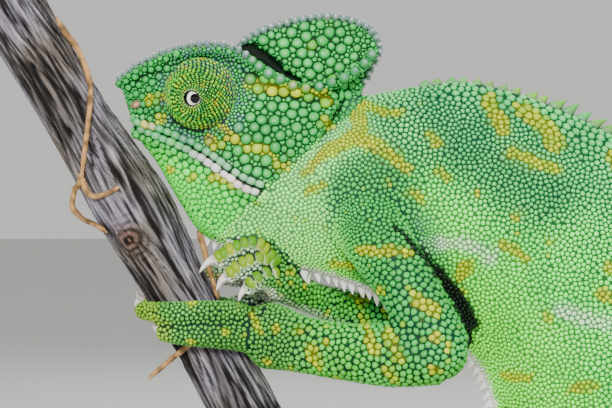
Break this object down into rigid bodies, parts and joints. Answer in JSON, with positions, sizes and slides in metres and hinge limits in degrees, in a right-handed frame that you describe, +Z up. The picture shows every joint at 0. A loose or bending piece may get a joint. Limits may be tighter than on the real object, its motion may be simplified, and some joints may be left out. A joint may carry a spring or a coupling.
{
  "type": "indian chameleon",
  "caption": "Life-size still model of an indian chameleon gripping a cut length of branch, its tail coiled, held by rods on a flat display base.",
  "frame": {"origin": "the middle of the display base's flat underside, at floor level", "axes": "+Z up; the animal faces -X with its snout to the upper -X end; its left side, the one the picture shows, faces -Y"},
  "size_m": [0.178, 0.084, 0.1968],
  "materials": {
    "skin": "satin, scaly, emerald and lime green with yellow bands and spots",
    "eye_skin": "satin, finely granular, green with yellow and violet rings",
    "eye": "wet gloss, black pupil with a pale gold ring",
    "bark": "rough, weathered grey-brown bark with dry tan tendrils",
    "base": "satin, dark walnut",
    "rod": "brushed"
  },
  "bodies": {
    "root": {"head": "skin", "neck": "skin", "torso": "skin", "tail_base": "skin", "tail_bend": "skin", "tail_coil": "skin", "tail_tip": "skin", "left_upper_arm": "skin", "left_forearm": "skin", "left_hand": "skin", "right_upper_arm": "skin", "right_forearm": "skin", "right_hand": "skin", "left_thigh": "skin", "left_shin": "skin", "left_foot": "skin", "right_thigh": "skin", "right_shin": "skin", "right_foot": "skin", "left_eye_turret": "eye_skin", "right_eye_turret": "eye_skin", "left_eyeball": "eye", "right_eyeball": "eye", "perch": "bark", "stand_base": "base", "stand_rod_low": "rod", "stand_rod_high": "rod"}
  },
  "joints": []
}
